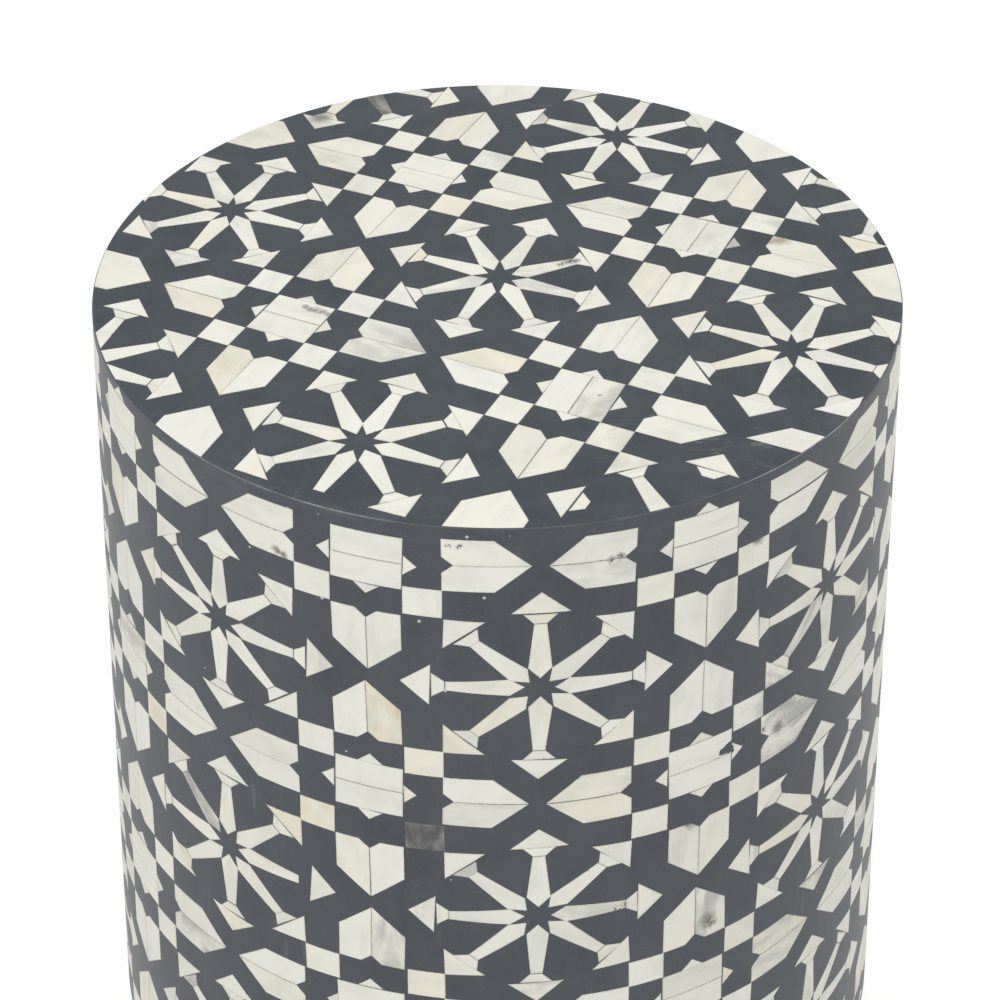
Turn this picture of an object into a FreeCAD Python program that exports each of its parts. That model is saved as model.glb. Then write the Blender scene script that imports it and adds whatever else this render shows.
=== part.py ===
import FreeCAD, Part
import math
import os
import Sketcher

# A drum stool: two boards and eight ribs inside a shell of bent ply, under a skin of bone set in dark resin.
# It stands on Z = 0 with its axis on Z. The side that faces the viewer is -Y. Lengths are in millimetres.

# Driving dimensions. Angles are in degrees. A name that ends in share has no unit, and those of the bones
# are shares of the pattern's pitch.
sizes = {
    # The whole drum
    "drum_diameter": 406,
    "drum_height": 440,
    "skin_thickness": 2.5,      # bone and resin, sanded flush
    "rim_bevel": 0.8,           # worn edge between the top and the side
    "glue_line": 0.1,           # between pieces that are glued round a curve
    "joint_fit": 0.2,           # round a tenon, and round a rib that passes through a notch
    # Boards and shell
    "board_thickness": 18,
    "shell_thickness": 6,
    # Ribs, with a tenon at each end
    "rib_count": 8,
    "rib_width": 32,
    "rib_depth": 22,
    "tenon_width": 20,
    "tenon_depth": 10,
    "tenon_length": 9,
    # Hoop at mid-height, with a straight-sawn opening
    "hoop_width": 40,
    "hoop_thickness": 15,
    # Feet under the base, each held by one square cut nail
    "foot_count": 4,
    "foot_height": 4,
    "foot_width": 28,
    "foot_inset": 42,           # from the drum's side to a foot's axis
    "foot_turn": 22.5,          # sets the feet between the ribs
    "nail_width": 2.5,
    "nail_length": 14,          # from under the head
    "nail_head_width": 7,
    "nail_head_height": 1.2,
    "nail_head_sink": 0.8,      # how far the head is sunk in its foot
    "nail_fit": 0.1,
    # Inlay of the top
    "top_pitch": 154.9,         # from one rosette to the next
    "top_turn": -24.5,          # of the pattern's rows, from +X
    "top_shift_x": 0.9,         # of the middle rosette, from the drum's axis
    "top_shift_y": 14.4,
    "top_fan_along_share": -0.0261,  # by which the hand-laid rows draw together from cell to cell
    "top_fan_across_share": 0.0381,
    "seam_width": 0.6,          # resin line between the corners of neighbouring bones
    "joint_width": 0.2,         # between bones laid edge to edge
    "bone_fit": 0.05,           # between a bone and its window in the resin
    "rim_land": 0.4,            # resin left between the worn edge and a bone cut by the rim
    "least_piece_share": 0.3,   # a bone cut smaller than this share of itself is left out
    # Rosette: rays, collars and arrowheads, measured out from its centre
    "ray_start_share": 0.040,
    "ray_shoulder_share": 0.085,
    "ray_end_share": 0.268,
    "ray_end_half_share": 0.019,
    "collar_end_share": 0.307,
    "collar_half_share": 0.051,
    "head_tip_share": 0.394,
    # Star with its small squares and leaf pairs, measured out from the big square's centre
    "big_square_half_share": 0.106,
    "star_point_share": 0.042,
    "leaf_notch_share": 0.033,
    "leaf_gap_share": 0.025,
}

# Places worked out from the driving dimensions
places = {
    "drum_radius": "=Sizes.drum_diameter / 2",
    "carcass_radius": "=drum_radius - Sizes.skin_thickness",
    "shell_outer_radius": "=carcass_radius - Sizes.glue_line",
    "shell_inner_radius": "=carcass_radius - Sizes.shell_thickness",
    "board_radius": "=shell_inner_radius - Sizes.glue_line",
    "base_top_z": "=Sizes.foot_height + Sizes.board_thickness",
    "carcass_top_z": "=Sizes.drum_height - Sizes.skin_thickness",
    "top_board_z": "=carcass_top_z - Sizes.board_thickness",
    "rib_height": "=top_board_z - base_top_z",
    "mortise_depth": "=Sizes.tenon_length + Sizes.joint_fit",
    "mortise_inner_x": "=board_radius - (Sizes.rib_depth + Sizes.tenon_depth) / 2 - Sizes.joint_fit",
    "mortise_outer_x": "=board_radius - (Sizes.rib_depth - Sizes.tenon_depth) / 2 + Sizes.joint_fit",
    "mortise_half_width": "=Sizes.tenon_width / 2 + Sizes.joint_fit",
    "hoop_z": "=(base_top_z + top_board_z - Sizes.hoop_thickness) / 2",
    "foot_circle_radius": "=drum_radius - Sizes.foot_inset",
    "nail_hole_half_width": "=Sizes.nail_width / 2 + Sizes.nail_fit",
    "nail_recess_half_width": "=Sizes.nail_head_width / 2 + Sizes.nail_fit",
    "nail_recess_depth": "=Sizes.nail_head_sink + Sizes.nail_head_height",
    "nail_hole_depth": "=nail_recess_depth + Sizes.nail_length - Sizes.foot_height + Sizes.nail_fit",
    "trim_radius": "=drum_radius - Sizes.rim_bevel - Sizes.rim_land",
}

document = FreeCAD.newDocument("DrumStool")
up = FreeCAD.Vector(0, 0, 1)


def add_sheet(name, cells):
    """Put named cells in a spreadsheet, one to a row."""
    sheet = document.addObject("Spreadsheet::Sheet", name)
    for row, (alias, content) in enumerate(cells.items(), start=1):
        sheet.set(f"A{row}", alias.replace("_", " "))
        sheet.set(f"B{row}", str(content))
        sheet.setAlias(f"B{row}", alias)
    document.recompute()
    return sheet


size_sheet = add_sheet("Sizes", sizes)
place_sheet = add_sheet("Places", places)


def size(name):
    return float(size_sheet.get(name))


def place(name):
    return float(place_sheet.get(name))


def turned(degrees, x=0, z=0):
    """A place at x on the X axis and at height z, turned about the drum's axis."""
    turn = FreeCAD.Placement(FreeCAD.Vector(), FreeCAD.Rotation(up, degrees))
    return turn * FreeCAD.Placement(FreeCAD.Vector(x, 0, z), FreeCAD.Rotation())


def bind(item, formulas):
    for name, formula in formulas.items():
        item.setExpression(name, formula)


# Bodies with sketched outlines

def new_body(label):
    body = document.addObject("PartDesign::Body", label)
    body.Label = label
    return body


def attached_sketch(body, name, lift, turn):
    """A sketch on the body's XY plane, lifted by a formula and turned about the body's axis."""
    plane = [feature for feature in body.Origin.OriginFeatures if feature.Role == "XY_Plane"][0]
    sketch = body.newObject("Sketcher::SketchObject", name)
    sketch.AttachmentSupport = (plane, [""])
    sketch.MapMode = "FlatFace"
    sketch.AttachmentOffset = turned(turn)
    if lift:
        sketch.setExpression(".AttachmentOffset.Base.z", lift)
    return sketch


def bound_distance(sketch, direction, line, formula):
    """Hold the start of a line at a distance from the origin, along X or Y."""
    start = sketch.Geometry[line].StartPoint
    value = start.x if direction == "DistanceX" else start.y
    number = sketch.addConstraint(Sketcher.Constraint(direction, -1, 1, line, 1, value))
    sketch.setExpression(f"Constraints[{number}]", formula)


def sketch_rectangle(body, name, low_x, high_x, low_y, high_y, lift="", turn=0):
    """A rectangle between four formulas."""
    sketch = attached_sketch(body, name, lift, turn)
    corners = [(low_x, low_y), (high_x, low_y), (high_x, high_y), (low_x, high_y)]
    points = []
    for x_formula, y_formula in corners:
        x_value = float(size_sheet.evalExpression(x_formula))
        y_value = float(size_sheet.evalExpression(y_formula))
        points.append(FreeCAD.Vector(x_value, y_value, 0))
    for number in range(4):
        sketch.addGeometry(Part.LineSegment(points[number], points[(number + 1) % 4]), False)
    for number in range(4):
        sketch.addConstraint(Sketcher.Constraint("Coincident", number, 2, (number + 1) % 4, 1))
    for number, (x_formula, y_formula) in enumerate(corners):
        bound_distance(sketch, "DistanceX", number, x_formula)
        bound_distance(sketch, "DistanceY", number, y_formula)
    return sketch


def sketch_square(body, name, half_width, centre_x="0", lift="", turn=0):
    """A square round a centre on the sketch's X axis."""
    return sketch_rectangle(
        body, name, f"{centre_x} - {half_width}", f"{centre_x} + {half_width}",
        f"-{half_width}", half_width, lift, turn,
    )


def sketch_circle(body, name, radius):
    sketch = attached_sketch(body, name, "", 0)
    first_radius = float(size_sheet.evalExpression(radius))
    sketch.addGeometry(Part.Circle(FreeCAD.Vector(), up, first_radius), False)
    sketch.addConstraint(Sketcher.Constraint("Coincident", 0, 3, -1, 1))
    number = sketch.addConstraint(Sketcher.Constraint("Radius", 0, first_radius))
    sketch.setExpression(f"Constraints[{number}]", radius)
    return sketch


def pad(body, sketch, height):
    block = body.newObject("PartDesign::Pad", "Block")
    block.Profile = sketch
    block.setExpression("Length", height)
    document.recompute()
    return block


def pocket(body, name, sketch, depth, upwards, count=""):
    """Cut a pocket, once or evenly round the body's axis, and check that it cuts."""
    whole_volume = body.Shape.Volume
    hole = body.newObject("PartDesign::Pocket", name)
    hole.Profile = sketch
    hole.Reversed = upwards
    hole.setExpression("Length", depth)
    if count:
        pattern = body.newObject("PartDesign::PolarPattern", name + "s")
        pattern.Originals = [hole]
        pattern.Axis = ([axis for axis in body.Origin.OriginFeatures if axis.Role == "Z_Axis"][0], [""])
        pattern.Angle = 360
        pattern.setExpression("Occurrences", count)
        body.Tip = pattern
    document.recompute()
    assert body.Shape.Volume < whole_volume, f"{name} cuts nothing"


# Boards: plain discs that close the shell, with a mortise for each rib's tenon

def board_body(label, mortise_lift, mortise_upwards):
    body = new_body(label)
    pad(body, sketch_circle(body, "BoardOutline", "Places.board_radius"), "Sizes.board_thickness")
    mortise = sketch_rectangle(
        body, "MortiseOutline", "Places.mortise_inner_x", "Places.mortise_outer_x",
        "-Places.mortise_half_width", "Places.mortise_half_width", mortise_lift,
    )
    pocket(body, "Mortise", mortise, "Places.mortise_depth", mortise_upwards, "Sizes.rib_count")
    return body


def make_top_board():
    body = board_body("top_board", "", True)
    body.Placement = turned(0, 0, place("top_board_z"))
    return body


def make_base_board():
    body = board_body("base_board", "Sizes.board_thickness", False)
    hole = sketch_square(
        body, "NailHoleOutline", "Places.nail_hole_half_width", "Places.foot_circle_radius",
        turn=size("foot_turn"),
    )
    pocket(body, "NailHole", hole, "Places.nail_hole_depth", True, "Sizes.foot_count")
    body.Placement = turned(0, 0, size("foot_height"))
    return body


# Shell: two half rounds of bent ply that meet on ribs

def make_shell_half(label, turn):
    outer = document.addObject("Part::Cylinder", label + "_outside")
    inner = document.addObject("Part::Cylinder", label + "_inside")
    bind(outer, {"Radius": "Places.shell_outer_radius"})
    bind(inner, {"Radius": "Places.shell_inner_radius"})
    for cylinder in (outer, inner):
        cylinder.Angle = 180
        bind(cylinder, {"Height": "Places.carcass_top_z - Sizes.foot_height"})
    half = document.addObject("Part::Cut", label)
    half.Base = outer
    half.Tool = inner
    half.Label = label
    half.Placement = turned(turn, 0, size("foot_height"))
    return half


# Ribs: upright battens, planed round where the shell is glued to them, with a tenon into each board

def make_ribs():
    stock = document.addObject("Part::Box", "RibStock")
    bind(stock, {
        "Length": "Sizes.rib_depth",
        "Width": "Sizes.rib_width",
        "Height": "Places.rib_height",
        "Placement.Base.x": "Places.board_radius - Sizes.rib_depth",
        "Placement.Base.y": "-Sizes.rib_width / 2",
    })
    inside = document.addObject("Part::Cylinder", "RibRound")
    bind(inside, {"Radius": "Places.board_radius", "Height": "Places.rib_height"})
    batten = document.addObject("Part::Common", "RibBatten")
    batten.Base = stock
    batten.Tool = inside
    tenons = document.addObject("Part::Box", "RibTenons")
    bind(tenons, {
        "Length": "Sizes.tenon_depth",
        "Width": "Sizes.tenon_width",
        "Height": "Places.rib_height + 2 * Sizes.tenon_length",
        "Placement.Base.x": "Places.mortise_inner_x + Sizes.joint_fit",
        "Placement.Base.y": "-Sizes.tenon_width / 2",
        "Placement.Base.z": "-Sizes.tenon_length",
    })
    count = round(size("rib_count"))
    ribs = []
    for number in range(count):
        rib = document.addObject("Part::Fuse", f"rib_{number + 1}")
        rib.Base = batten
        rib.Tool = tenons
        rib.Label = f"rib_{number + 1}"
        rib.Placement = turned(360 * number / count, 0, place("base_top_z"))
        ribs.append(rib)
    return ribs


# Middle hoop: a round frame that keeps the shell from flattening, notched for the ribs

def make_middle_hoop():
    blank = document.addObject("Part::Cylinder", "HoopBlank")
    bind(blank, {"Radius": "Places.board_radius", "Height": "Sizes.hoop_thickness"})
    opening = document.addObject("Part::Prism", "HoopOpening")
    bind(opening, {
        "Polygon": "Sizes.rib_count",
        "Circumradius": "Places.board_radius - Sizes.hoop_width",
        "Height": "Sizes.hoop_thickness",
    })
    ring = document.addObject("Part::Cut", "HoopRing")
    ring.Base = blank
    ring.Tool = opening
    count = round(size("rib_count"))
    notches = []
    for number in range(count):
        notch = document.addObject("Part::Box", f"HoopNotch{number + 1}")
        bind(notch, {
            "Length": "Sizes.rib_depth + Sizes.joint_fit + Sizes.shell_thickness",
            "Width": "Sizes.rib_width + 2 * Sizes.joint_fit",
            "Height": "Sizes.hoop_thickness",
        })
        corner = place("board_radius") - size("rib_depth") - size("joint_fit")
        side = -size("rib_width") / 2 - size("joint_fit")
        notch.Placement = turned(360 * number / count).multiply(
            FreeCAD.Placement(FreeCAD.Vector(corner, side, 0), FreeCAD.Rotation())
        )
        notches.append(notch)
    cuts = document.addObject("Part::Compound", "HoopNotches")
    cuts.Links = notches
    hoop = document.addObject("Part::Cut", "middle_hoop")
    hoop.Base = ring
    hoop.Tool = cuts
    hoop.Label = "middle_hoop"
    hoop.Placement = turned(0, 0, place("hoop_z"))
    return hoop


# Feet: square rubber pads, each with a recess and a hole for its nail

def make_foot(number, turn):
    body = new_body(f"foot_{number}")
    pad(body, sketch_square(body, "FootOutline", "Sizes.foot_width / 2"), "Sizes.foot_height")
    recess = sketch_square(body, "RecessOutline", "Places.nail_recess_half_width")
    pocket(body, "Recess", recess, "Places.nail_recess_depth", True)
    hole = sketch_square(body, "HoleOutline", "Places.nail_hole_half_width")
    pocket(body, "NailHole", hole, "Sizes.foot_height", True)
    body.Placement = turned(turn, place("foot_circle_radius"))
    return body


def centred_box(name, width, height, z):
    box = document.addObject("Part::Box", name)
    bind(box, {
        "Length": width,
        "Width": width,
        "Height": height,
        "Placement.Base.x": f"-{width} / 2",
        "Placement.Base.y": f"-{width} / 2",
        "Placement.Base.z": z,
    })
    return box


def make_foot_nail(number, turn):
    nail = document.addObject("Part::Fuse", f"Nail{number}")
    nail.Base = centred_box(
        f"NailHead{number}", "Sizes.nail_head_width", "Sizes.nail_head_height", "Sizes.nail_head_sink",
    )
    nail.Tool = centred_box(
        f"NailShank{number}", "Sizes.nail_width", "Sizes.nail_length", "Places.nail_recess_depth",
    )
    nail.Placement = turned(turn, place("foot_circle_radius"))
    return nail


def make_feet():
    count = round(size("foot_count"))
    feet = []
    nails = []
    for number in range(1, count + 1):
        turn = size("foot_turn") + 360 * number / count
        feet.append(make_foot(number, turn))
        nails.append(make_foot_nail(number, turn))
    group = document.addObject("Part::Compound", "foot_nails")
    group.Links = nails
    group.Label = "foot_nails"
    return feet + [group]


# Side skin: a sleeve of resin round the shell, under the top skin

def make_side_resin():
    outer = document.addObject("Part::Cylinder", "SleeveOutside")
    inner = document.addObject("Part::Cylinder", "SleeveInside")
    bind(outer, {"Radius": "Places.drum_radius"})
    bind(inner, {"Radius": "Places.carcass_radius"})
    for cylinder in (outer, inner):
        bind(cylinder, {"Height": "Places.carcass_top_z - Sizes.foot_height"})
    sleeve = document.addObject("Part::Cut", "side_resin")
    sleeve.Base = outer
    sleeve.Tool = inner
    sleeve.Label = "side_resin"
    sleeve.Placement = turned(0, 0, size("foot_height"))
    return sleeve


# Outlines of the bones. All are convex and run anticlockwise. A rosette's pieces lie along +X from its
# centre, and a star's pieces round the centre of its big square. Bones laid edge to edge share a window.

def bone_windows(pitch):
    """Each window with its outline, its bones, its turns, its centre's place in a cell and its rim bone.

    A bone has its node's name, its outline and the numbers of its sides that lie against another bone.
    Its rim bone is the single one that takes their place where the rim cuts the window.
    """
    def share(name):
        return pitch * size(name + "_share")

    ray_end = share("ray_end")
    ray_end_half = share("ray_end_half")
    shoulder = share("ray_shoulder")
    collar_end = share("collar_end")
    collar_half = share("collar_half")
    head_tip = share("head_tip")
    square = share("big_square_half")
    point = share("star_point")
    notch = share("leaf_notch")
    leaf_tip = pitch / 2 - share("leaf_gap")
    eight_turns = [45 * step for step in range(8)]
    four_turns = [90 * step for step in range(4)]
    # Neighbouring rays meet at their shoulders
    shoulder_half = shoulder * math.tan(math.radians(45 / 2))
    # The arrowheads, star points, leaf tips and notches are all right-angled
    head_half = head_tip - collar_end
    # A small square runs from the big square's corner to the corner of the diagonal arrowhead
    small_far = pitch / 2 - head_tip * math.sin(math.radians(45))
    ray = [
        (share("ray_start"), 0), (shoulder, -shoulder_half), (ray_end, -ray_end_half),
        (ray_end, ray_end_half), (shoulder, shoulder_half),
    ]
    collar = [
        (ray_end, -ray_end_half), (collar_end, -collar_half),
        (collar_end, collar_half), (ray_end, ray_end_half),
    ]
    head = [(collar_end, -head_half), (head_tip, 0), (collar_end, head_half)]
    spear = ray[:3] + collar[1:2] + head + collar[2:] + ray[4:]
    right_half = [(0, -square), (square, -square), (square, square), (0, square)]
    left_half = [(-square, -square), (0, -square), (0, square), (-square, square)]
    whole_square = left_half[:1] + right_half[1:3] + left_half[3:]
    star_point = [(square, -point), (square + point, 0), (square, point)]
    small_square = [(square, square), (small_far, square), (small_far, small_far), (square, small_far)]
    left_leaf = [
        (small_far + notch, 0), (leaf_tip, 0), (leaf_tip - square, square),
        (small_far, square), (small_far, notch),
    ]
    right_leaf = [
        (small_far + notch, 0), (small_far, -notch), (small_far, -square),
        (leaf_tip - square, -square), (leaf_tip, 0),
    ]
    leaf_pair = right_leaf + left_leaf[2:]
    rim_leaf = right_leaf[2:] + left_leaf[2:4]
    star_place = pitch / 2
    return [
        (spear, [
            ("top_rays", ray, [2]),
            ("top_collars", collar, [1, 3]),
            ("top_arrowheads", head, [2]),
        ], eight_turns, 0, None),
        (whole_square, [
            ("top_half_squares", right_half, [3]),
            ("top_half_squares", left_half, [1]),
        ], [0], star_place, None),
        (star_point, [("top_star_points", star_point, [])], four_turns, star_place, None),
        (small_square, [("top_small_squares", small_square, [])], four_turns, star_place, None),
        (leaf_pair, [
            ("top_left_leaves", left_leaf, [0]),
            ("top_right_leaves", right_leaf, [4]),
        ], four_turns, star_place, ("top_rim_bones", rim_leaf, [])),
    ]


def moved_sides(outline, distances):
    """Move each side of an outline outwards by its own distance, or inwards by a negative one."""
    count = len(outline)
    lines = []
    for number in range(count):
        x1, y1 = outline[number]
        x2, y2 = outline[(number + 1) % count]
        length = math.hypot(x2 - x1, y2 - y1)
        normal_x = (y2 - y1) / length
        normal_y = (x1 - x2) / length
        lines.append((normal_x, normal_y, normal_x * x1 + normal_y * y1 + distances[number]))
    corners = []
    for number in range(count):
        a1, b1, c1 = lines[number - 1]
        a2, b2, c2 = lines[number]
        determinant = a1 * b2 - a2 * b1
        corners.append(((c1 * b2 - c2 * b1) / determinant, (a1 * c2 - a2 * c1) / determinant))
    return corners


def moved_outline(outline, distance):
    return moved_sides(outline, [distance] * len(outline))


def pattern_rows():
    shift = FreeCAD.Vector(size("top_shift_x"), size("top_shift_y"), 0)
    return FreeCAD.Placement(shift, FreeCAD.Rotation(up, size("top_turn")))


def hand_laid(point):
    """Where the fan of the rows puts a point of the true pattern. Straight lines stay straight."""
    cell = pattern_rows().inverse().multVec(point) / size("top_pitch")
    return point / (1 + size("top_fan_along_share") * cell.x + size("top_fan_across_share") * cell.y)


def flat_face(outline, position):
    points = [hand_laid(position.multVec(FreeCAD.Vector(x, y, 0))) for x, y in outline]
    return Part.Face(Part.makePolygon(points + points[:1]))


def round_face(radius):
    return Part.Face(Part.Wire(Part.makeCircle(radius)))


def inside(face, disc):
    radius = disc.Edges[0].Curve.Radius
    return all(vertex.Point.Length < radius for vertex in face.Vertexes)


def trimmed(face, disc):
    """What a disc leaves of a face, or None."""
    if inside(face, disc):
        return face
    faces = face.common(disc).Faces
    return max(faces, key=lambda rest: rest.Area) if faces else None


def window_centres(half_step):
    """The centres of all rosettes, or of all big squares, that the top may hold."""
    pitch = size("top_pitch")
    rows = pattern_rows()
    reach = math.ceil(place("drum_radius") / pitch) + 1
    for column in range(-reach, reach + 1):
        for row in range(-reach, reach + 1):
            centre = FreeCAD.Vector(column * pitch + half_step, row * pitch + half_step, 0)
            if centre.Length < place("drum_radius") + pitch:
                yield rows * FreeCAD.Placement(centre, FreeCAD.Rotation())


# Top skin: every bone is a flat piece of its own, and the resin round them has a window for each group

def cut_bones(pieces, position, disc):
    """The bones that the rim leaves at one place, and the outlines of those that are left out."""
    bones = []
    left_out = []
    for name, outline, joints in pieces:
        insets = [-size("seam_width") / 2] * len(outline)
        for number in joints:
            insets[number] = -size("joint_width") / 2
        whole = flat_face(moved_sides(outline, insets), position)
        face = trimmed(whole, disc)
        if face is None or face.Area < whole.Area * size("least_piece_share"):
            left_out.append(outline)
        elif face is whole:
            bones.append((name, face))
        else:
            bones.append(("top_rim_bones", face))
    return bones, left_out


def make_top_skin():
    fit = size("bone_fit")
    thickness = up * size("skin_thickness")
    bone_disc = round_face(place("trim_radius"))
    window_disc = round_face(place("trim_radius") + fit)
    solids = {}
    windows = []
    for full_outline, full_pieces, turns, half_step, rim_piece in bone_windows(size("top_pitch")):
        for centre in window_centres(half_step):
            for turn in turns:
                position = centre * turned(turn)
                outline = full_outline
                pieces = full_pieces
                if rim_piece and not inside(flat_face(outline, position), bone_disc):
                    outline = rim_piece[1]
                    pieces = [rim_piece]
                bones, left_out = cut_bones(pieces, position, bone_disc)
                if not bones:
                    continue
                for name, face in bones:
                    solids.setdefault(name, []).append(face.extrude(thickness))
                window_outline = moved_outline(outline, fit - size("seam_width") / 2)
                window = trimmed(flat_face(window_outline, position), window_disc)
                for missing in left_out:
                    filled = flat_face(moved_outline(missing, fit), position)
                    window = max(window.cut(filled).Faces, key=lambda rest: rest.Area)
                windows.append(window.OuterWire)
    groups = []
    for name, bones in solids.items():
        group = document.addObject("Part::Feature", name)
        group.Shape = Part.Compound(bones)
        group.Placement = turned(0, 0, place("carcass_top_z"))
        group.Label = name
        groups.append(group)
    rim = Part.Wire(Part.makeCircle(place("drum_radius")))
    sheet_face = Part.makeFace([rim] + windows, "Part::FaceMakerBullseye")
    sheet = sheet_face.extrude(thickness)
    upper_rim = [
        edge for edge in sheet.Edges
        if len(edge.Vertexes) == 1 and edge.CenterOfMass.z > size("skin_thickness") / 2
    ]
    resin = document.addObject("Part::Feature", "top_resin")
    resin.Shape = sheet.makeChamfer(size("rim_bevel"), upper_rim)
    resin.Placement = turned(0, 0, place("carcass_top_z"))
    resin.Label = "top_resin"
    return groups + [resin]


parts = [
    make_top_board(),
    make_base_board(),
    make_shell_half("shell_back", 0),
    make_shell_half("shell_front", 180),
    make_middle_hoop(),
    make_side_resin(),
]
parts += make_ribs()
parts += make_feet()
parts += make_top_skin()
document.recompute()

for item in document.Objects:
    assert not {"Invalid", "Error"} & set(item.State), f"{item.Name} did not build"
os.makedirs("parts", exist_ok=True)
for item in parts:
    assert not item.Shape.isNull() and item.Shape.isValid(), f"{item.Label} has no valid shape"
for item in parts:
    item.Shape.exportStep(os.path.join("parts", item.Label + ".step"))
    print(item.Label, "solids", len(item.Shape.Solids), "volume", round(item.Shape.Volume))
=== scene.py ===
import math
import random

import bpy
import numpy as np
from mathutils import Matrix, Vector


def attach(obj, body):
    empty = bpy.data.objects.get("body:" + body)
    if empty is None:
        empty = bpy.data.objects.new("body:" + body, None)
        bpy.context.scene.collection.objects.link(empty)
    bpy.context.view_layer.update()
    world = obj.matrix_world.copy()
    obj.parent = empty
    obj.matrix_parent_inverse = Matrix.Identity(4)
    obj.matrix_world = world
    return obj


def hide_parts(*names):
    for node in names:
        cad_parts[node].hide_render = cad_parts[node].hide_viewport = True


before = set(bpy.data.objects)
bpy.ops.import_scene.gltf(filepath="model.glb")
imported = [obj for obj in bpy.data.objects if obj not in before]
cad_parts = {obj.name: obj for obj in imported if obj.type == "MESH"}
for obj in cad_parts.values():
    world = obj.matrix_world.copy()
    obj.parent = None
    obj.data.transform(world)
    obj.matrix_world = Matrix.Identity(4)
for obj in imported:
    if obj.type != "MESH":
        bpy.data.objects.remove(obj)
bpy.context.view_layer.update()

drum = {
    "radius": 0.203,        # outside of the resin
    "height": 0.440,
    "topUnder": 0.4375,     # where the skin of the top meets the sleeve of the side
    "sleeveFoot": 0.004,
    "sleeveInside": 0.2005,
    "rimRound": 0.0009,
    "footRound": 0.0008,
    "facets": 288,
    "weld": 1e-6,           # corners nearer than this are made one
    "smoothUnder": 50,      # degrees between facets that are still shaded as one face
}

motif = {                   # shares of one cell, the same on the top and on the side
    "rayStart": 0.040, "rayShoulder": 0.085, "rayEnd": 0.268, "rayEndHalf": 0.019,
    "collarEnd": 0.307, "collarHalf": 0.051, "headTip": 0.394,
    "squareHalf": 0.106, "starPoint": 0.042, "leafNotch": 0.033, "leafGap": 0.025,
}

topRows = {                 # the lattice of the top, laid by hand and a little out of true
    "pitch": 0.1549, "turn": -24.5, "shiftX": 0.0009, "shiftY": 0.0144,
    "fanAlong": -0.0261, "fanAcross": 0.0381,
    "fieldRadius": 0.2018,      # a bone that reaches past this is one of the rim's
    "trimRadius": 0.2024,       # and is cut off here
    "trimDepth": 0.02,
    "keptShare": 0.3,           # a bone is laid if more than this share of its spots lies inside
}

sideRows = {                # the lattice of the side, star columns counted from the front one
    "frontColumn": 5.8, "stepFront": 47.6, "stepBack": 42.4,
    "frontReach": 2,        # columns each way from the front one that keep to its step
    "firstRow": 0.0935, "pitch": 0.1425, "sag": 0.0035, "lift": 0.0022,
    "topSquares": -0.5, "footSquares": 2.5,     # rows of squares that the ends of the sleeve cut
}

boneCut = {
    "depth": 0.0016,        # how far a bone is let into the resin
    "arris": 0.00012,       # the sanded edge
    "hairline": 0.00008,    # each bone is this much smaller all round than its place
    "edgeBand": 0.0006,     # a bone is a little darker this near its edge
    "edgeShade": 0.08,
    "borderShare": 0.9,     # corners up to this share of that band belong to the edge
    "bendStep": 0.0072,     # a bone of the side is faceted this finely round the drum
    "grainUnit": 100,       # the grain map counts centimetres
    "smoothUnder": 30,
    "biteLeast": 0.65, "biteSpread": 0.7,       # a bite's raggedness, in shares of its radius
}

handLaid = {                # how far a hand-laid group of bones strays from its place
    "shift": 0.0006, "turn": 1.2, "stretch": 0.018, "shear": 0.012, "taper": 0.9,
    "trim": 0.006, "ownShift": 0.00008, "proudSpread": 0.00002,
    "looseTrim": 4, "looseShift": 2,    # how much more the loose kinds are trimmed and shifted
    "grainJump": 60,
}

toneOdds = {                # of each draw, the share from which a bone is stained, clouded or dark
    "stained": 0.94, "stainedWarm": 0.35, "stainedSpread": 0.25,
    "clouded": 0.84, "cloudedSmoky": 0.25, "cloudedSpread": 0.35,
    "dark": 0.82, "darkSmoky": 0.60, "darkSpread": 0.20,
    "warm": 0.27, "warmBend": 1.3, "smoky": 0.12, "shade": 0.08,
}

leafPair = ("left_leaves", "right_leaves")


def deselectAll():
    for thing in bpy.context.selected_objects:
        thing.select_set(False)


def pickOnly(thing):
    deselectAll()
    thing.select_set(True)
    bpy.context.view_layer.objects.active = thing


# Materials

class Wire:
    def __init__(self, bench, socket):
        self.bench, self.socket = bench, socket

    def __add__(self, other):
        return self.bench.maths("ADD", self, other)

    def __sub__(self, other):
        return self.bench.maths("SUBTRACT", self, other)

    def __rsub__(self, other):
        return self.bench.maths("SUBTRACT", other, self)

    def __mul__(self, other):
        return self.bench.maths("MULTIPLY", self, other)

    __radd__ = __add__
    __rmul__ = __mul__


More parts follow.
